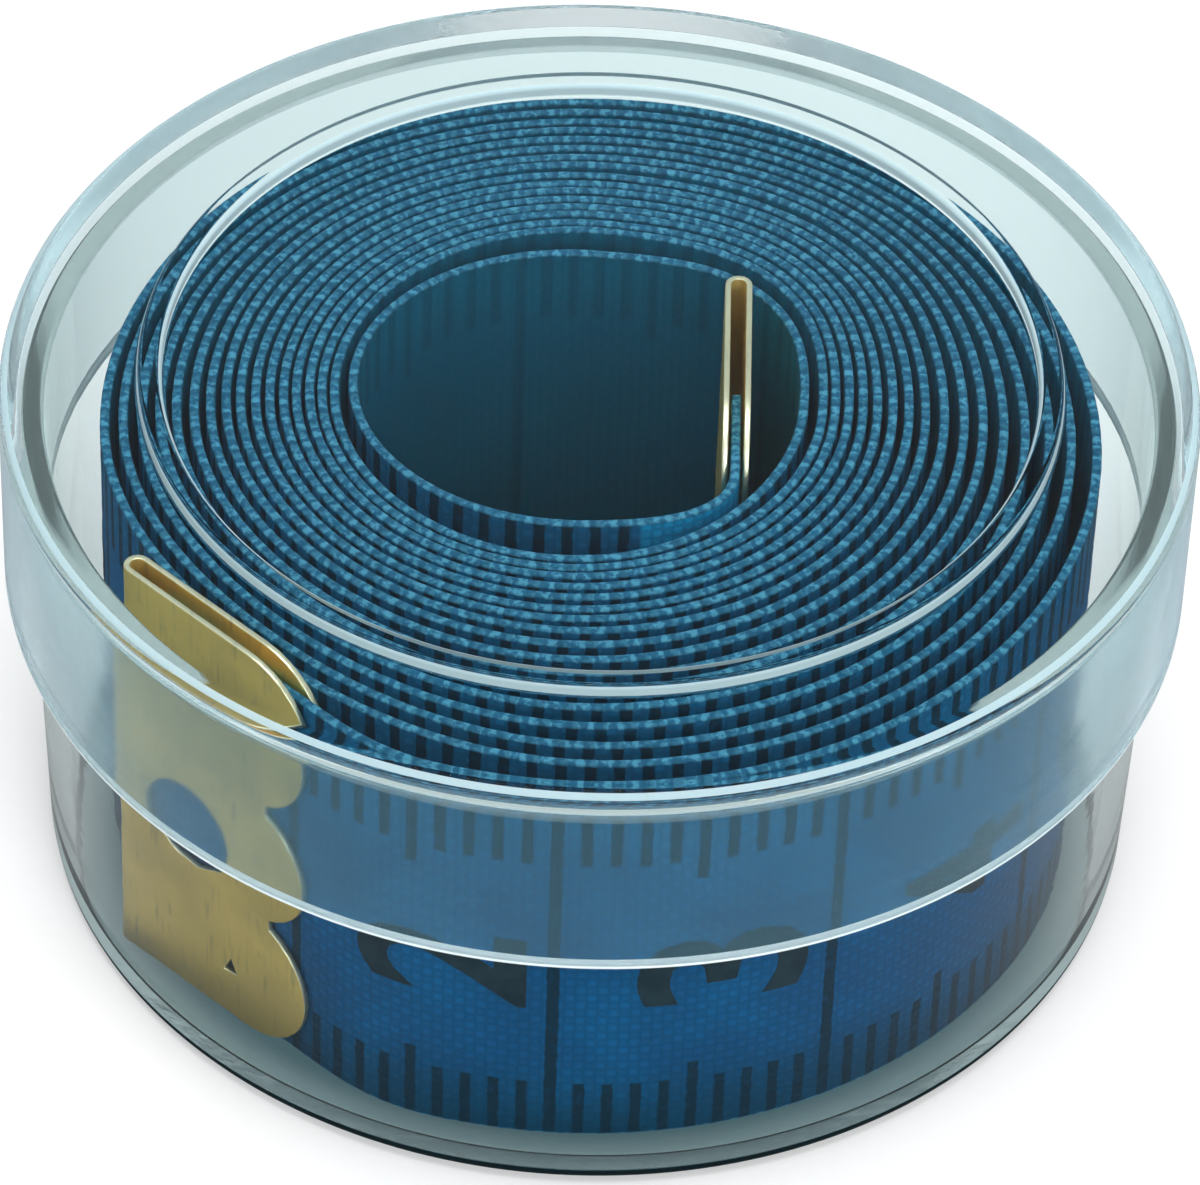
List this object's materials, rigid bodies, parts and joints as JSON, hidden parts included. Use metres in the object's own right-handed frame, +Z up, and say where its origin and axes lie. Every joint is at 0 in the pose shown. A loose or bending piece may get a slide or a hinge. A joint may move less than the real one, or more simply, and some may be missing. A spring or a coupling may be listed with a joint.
{
  "type": "cloth tape measure",
  "caption": "Sewing tape measure of printed cloth, wound flat with a folded metal clip on each end, in a round clear case with a press-on lid.",
  "frame": {"origin": "middle of the case's flat underside", "axes": "+Z up along the case's axis, -Y to the front of the picture, +X to its right"},
  "size_m": [0.0432, 0.0432, 0.0214],
  "materials": {
    "clear_plastic_cup": "clear, polished",
    "clear_plastic_lid": "clear, polished",
    "printed_cloth": "woven, printed and lightly coated",
    "clip_brass": "satin, a little tarnished"
  },
  "bodies": {
    "base": {"case_cup": "clear_plastic_cup"},
    "roll": {"tape": "printed_cloth", "clip_outer_end": "clip_brass", "clip_inner_end": "clip_brass"},
    "lid": {"case_lid": "clear_plastic_lid"}
  },
  "joints": [
    {"name": "roll_lift", "type": "slide", "parent": "base", "child": "roll", "axis": [0, 0, 1], "range_m": [0, 0.024]},
    {"name": "lid_lift", "type": "slide", "parent": "roll", "child": "lid", "axis": [0, 0, 1], "range_m": [0, 0.02]}
  ]
}
